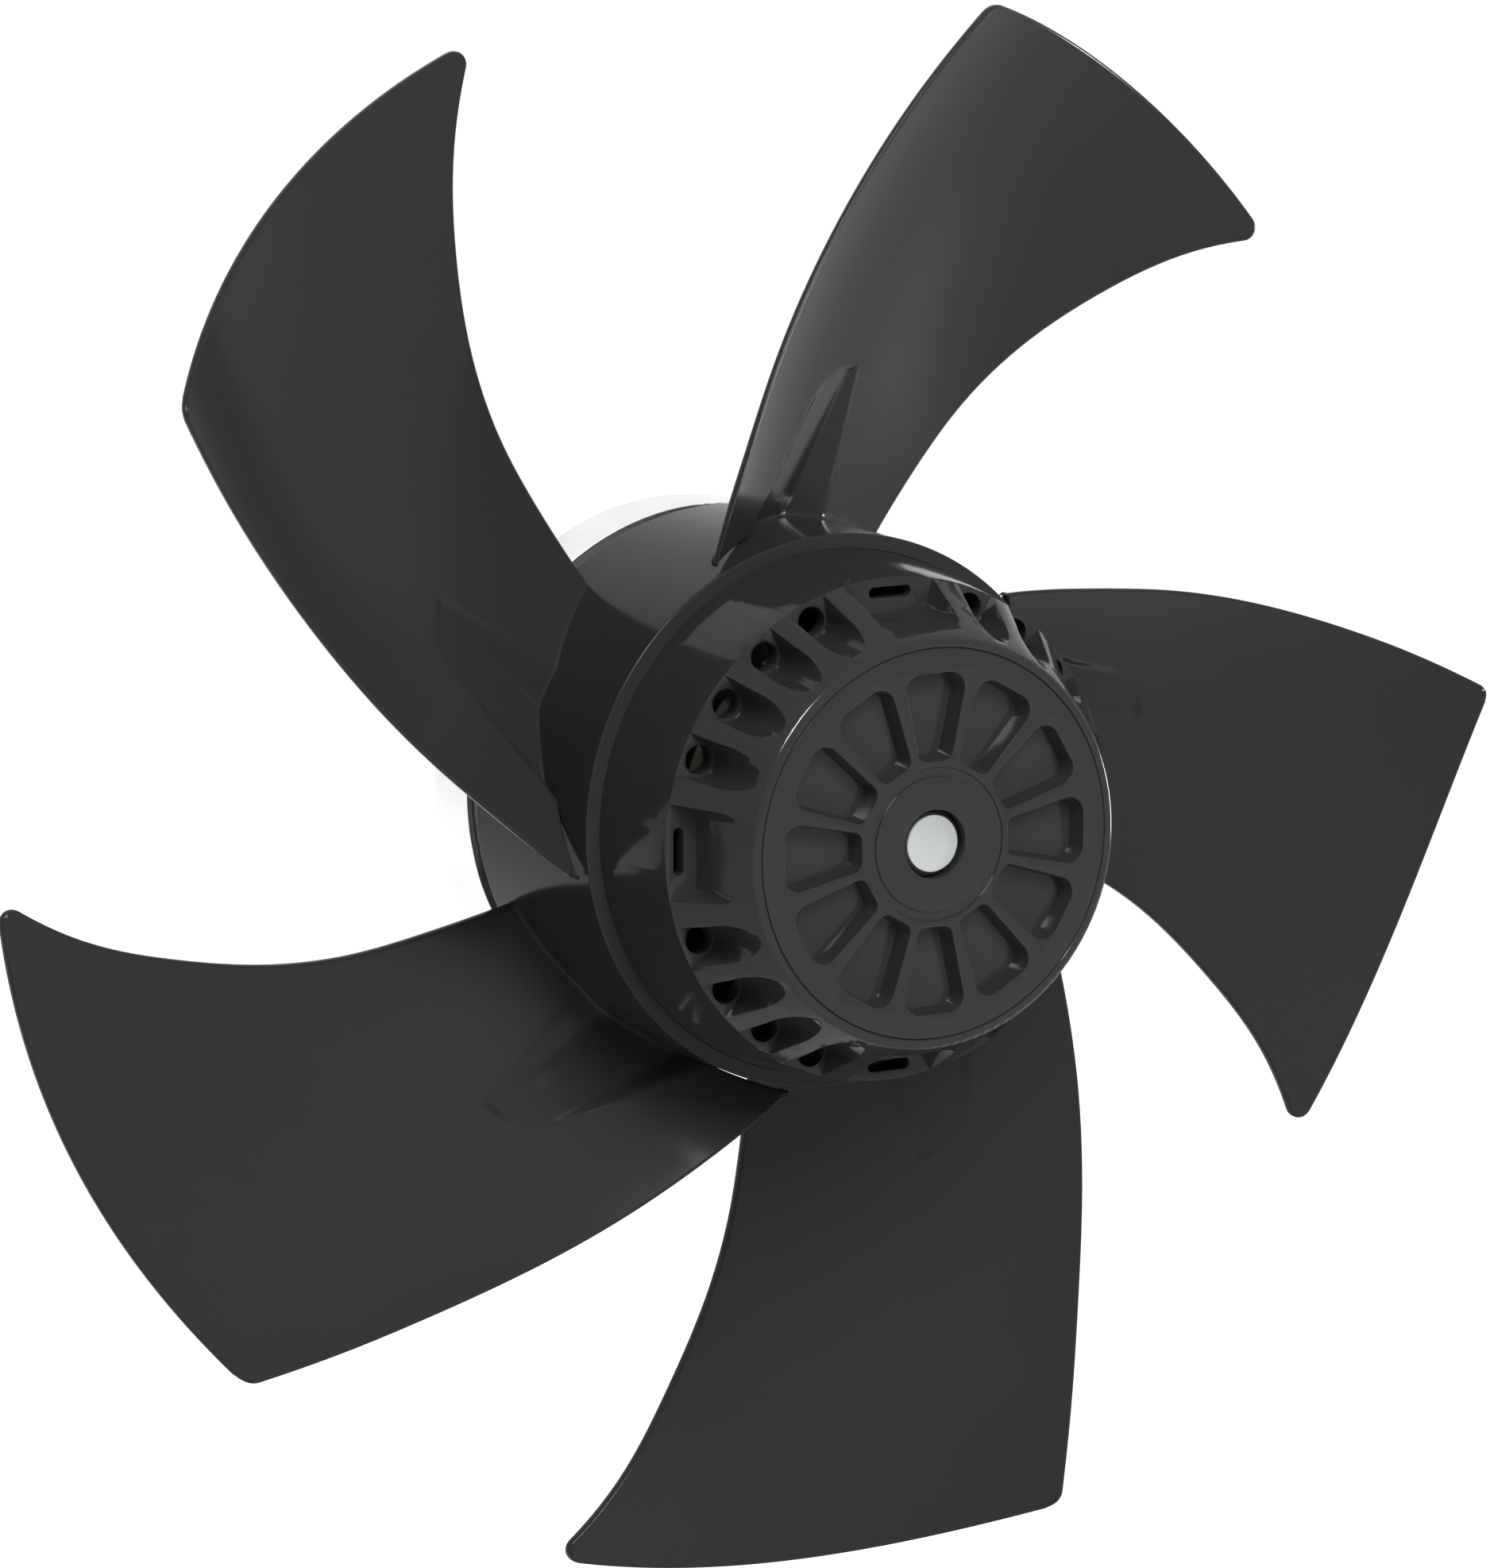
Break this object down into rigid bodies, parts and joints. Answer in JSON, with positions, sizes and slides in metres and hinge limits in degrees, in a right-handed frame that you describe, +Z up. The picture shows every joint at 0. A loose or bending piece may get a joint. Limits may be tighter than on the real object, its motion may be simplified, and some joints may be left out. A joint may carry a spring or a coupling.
{
  "type": "axial fan with external rotor motor",
  "caption": "Axial fan: swept moulded impeller on an external rotor motor, with a bare cast stator flange for mounting from the rear.",
  "frame": {"origin": "centre of the rear mounting bolt circle, in the plane of the rear mounting face", "axes": "the fan axis is Y: the rotor and the front of the fan face -Y and the mounting face looks +Y; +Z is up"},
  "size_m": [0.4971, 0.1634, 0.489],
  "materials": {
    "fan_plastic": "moulded, satin, dark grey",
    "black_casting": "die-cast, black coated, satin",
    "bare_aluminium": "die-cast, bare",
    "ground_steel": "turned and ground",
    "bearing_steel": "ground",
    "spring_steel": "dull",
    "lamination_steel": "stacked sheet, varnished",
    "winding_copper": "enamelled wire, varnished",
    "insulator_plastic": "moulded",
    "cage_plastic": "moulded",
    "seal_rubber": "moulded, dull",
    "gland_plastic": "moulded, satin",
    "zinc_plated": "zinc plated"
  },
  "bodies": {
    "stator": {"earth_screw": "zinc_plated", "front_bearing_balls": "bearing_steel", "front_bearing_cage": "cage_plastic", "front_bearing_outer_ring": "bearing_steel", "front_bearing_shields": "spring_steel", "front_insulator": "insulator_plastic", "gland_body": "gland_plastic", "gland_nut": "gland_plastic", "gland_seal": "seal_rubber", "rear_bearing_balls": "bearing_steel", "rear_bearing_cage": "cage_plastic", "rear_bearing_outer_ring": "bearing_steel", "rear_bearing_shields": "spring_steel", "rear_cover": "bare_aluminium", "rear_cover_screws": "zinc_plated", "rear_insulator": "insulator_plastic", "slot_wedges": "insulator_plastic", "stator_core": "lamination_steel", "stator_flange": "bare_aluminium", "stator_windings": "winding_copper", "thermal_cutout": "gland_plastic", "tube_circlip": "spring_steel", "wave_spring": "spring_steel"},
    "rotor": {"impeller": "fan_plastic", "rotor_housing": "black_casting", "rotor_core": "lamination_steel", "shaft": "ground_steel", "shaft_circlip": "spring_steel", "shaft_seal": "seal_rubber", "front_bearing_inner_ring": "bearing_steel", "rear_bearing_inner_ring": "bearing_steel"}
  },
  "joints": [
    {"name": "rotor_spin", "type": "hinge", "parent": "stator", "child": "rotor", "pos_m": [0, -0.07, 0], "axis": [0, -1, 0], "continuous": true}
  ]
}
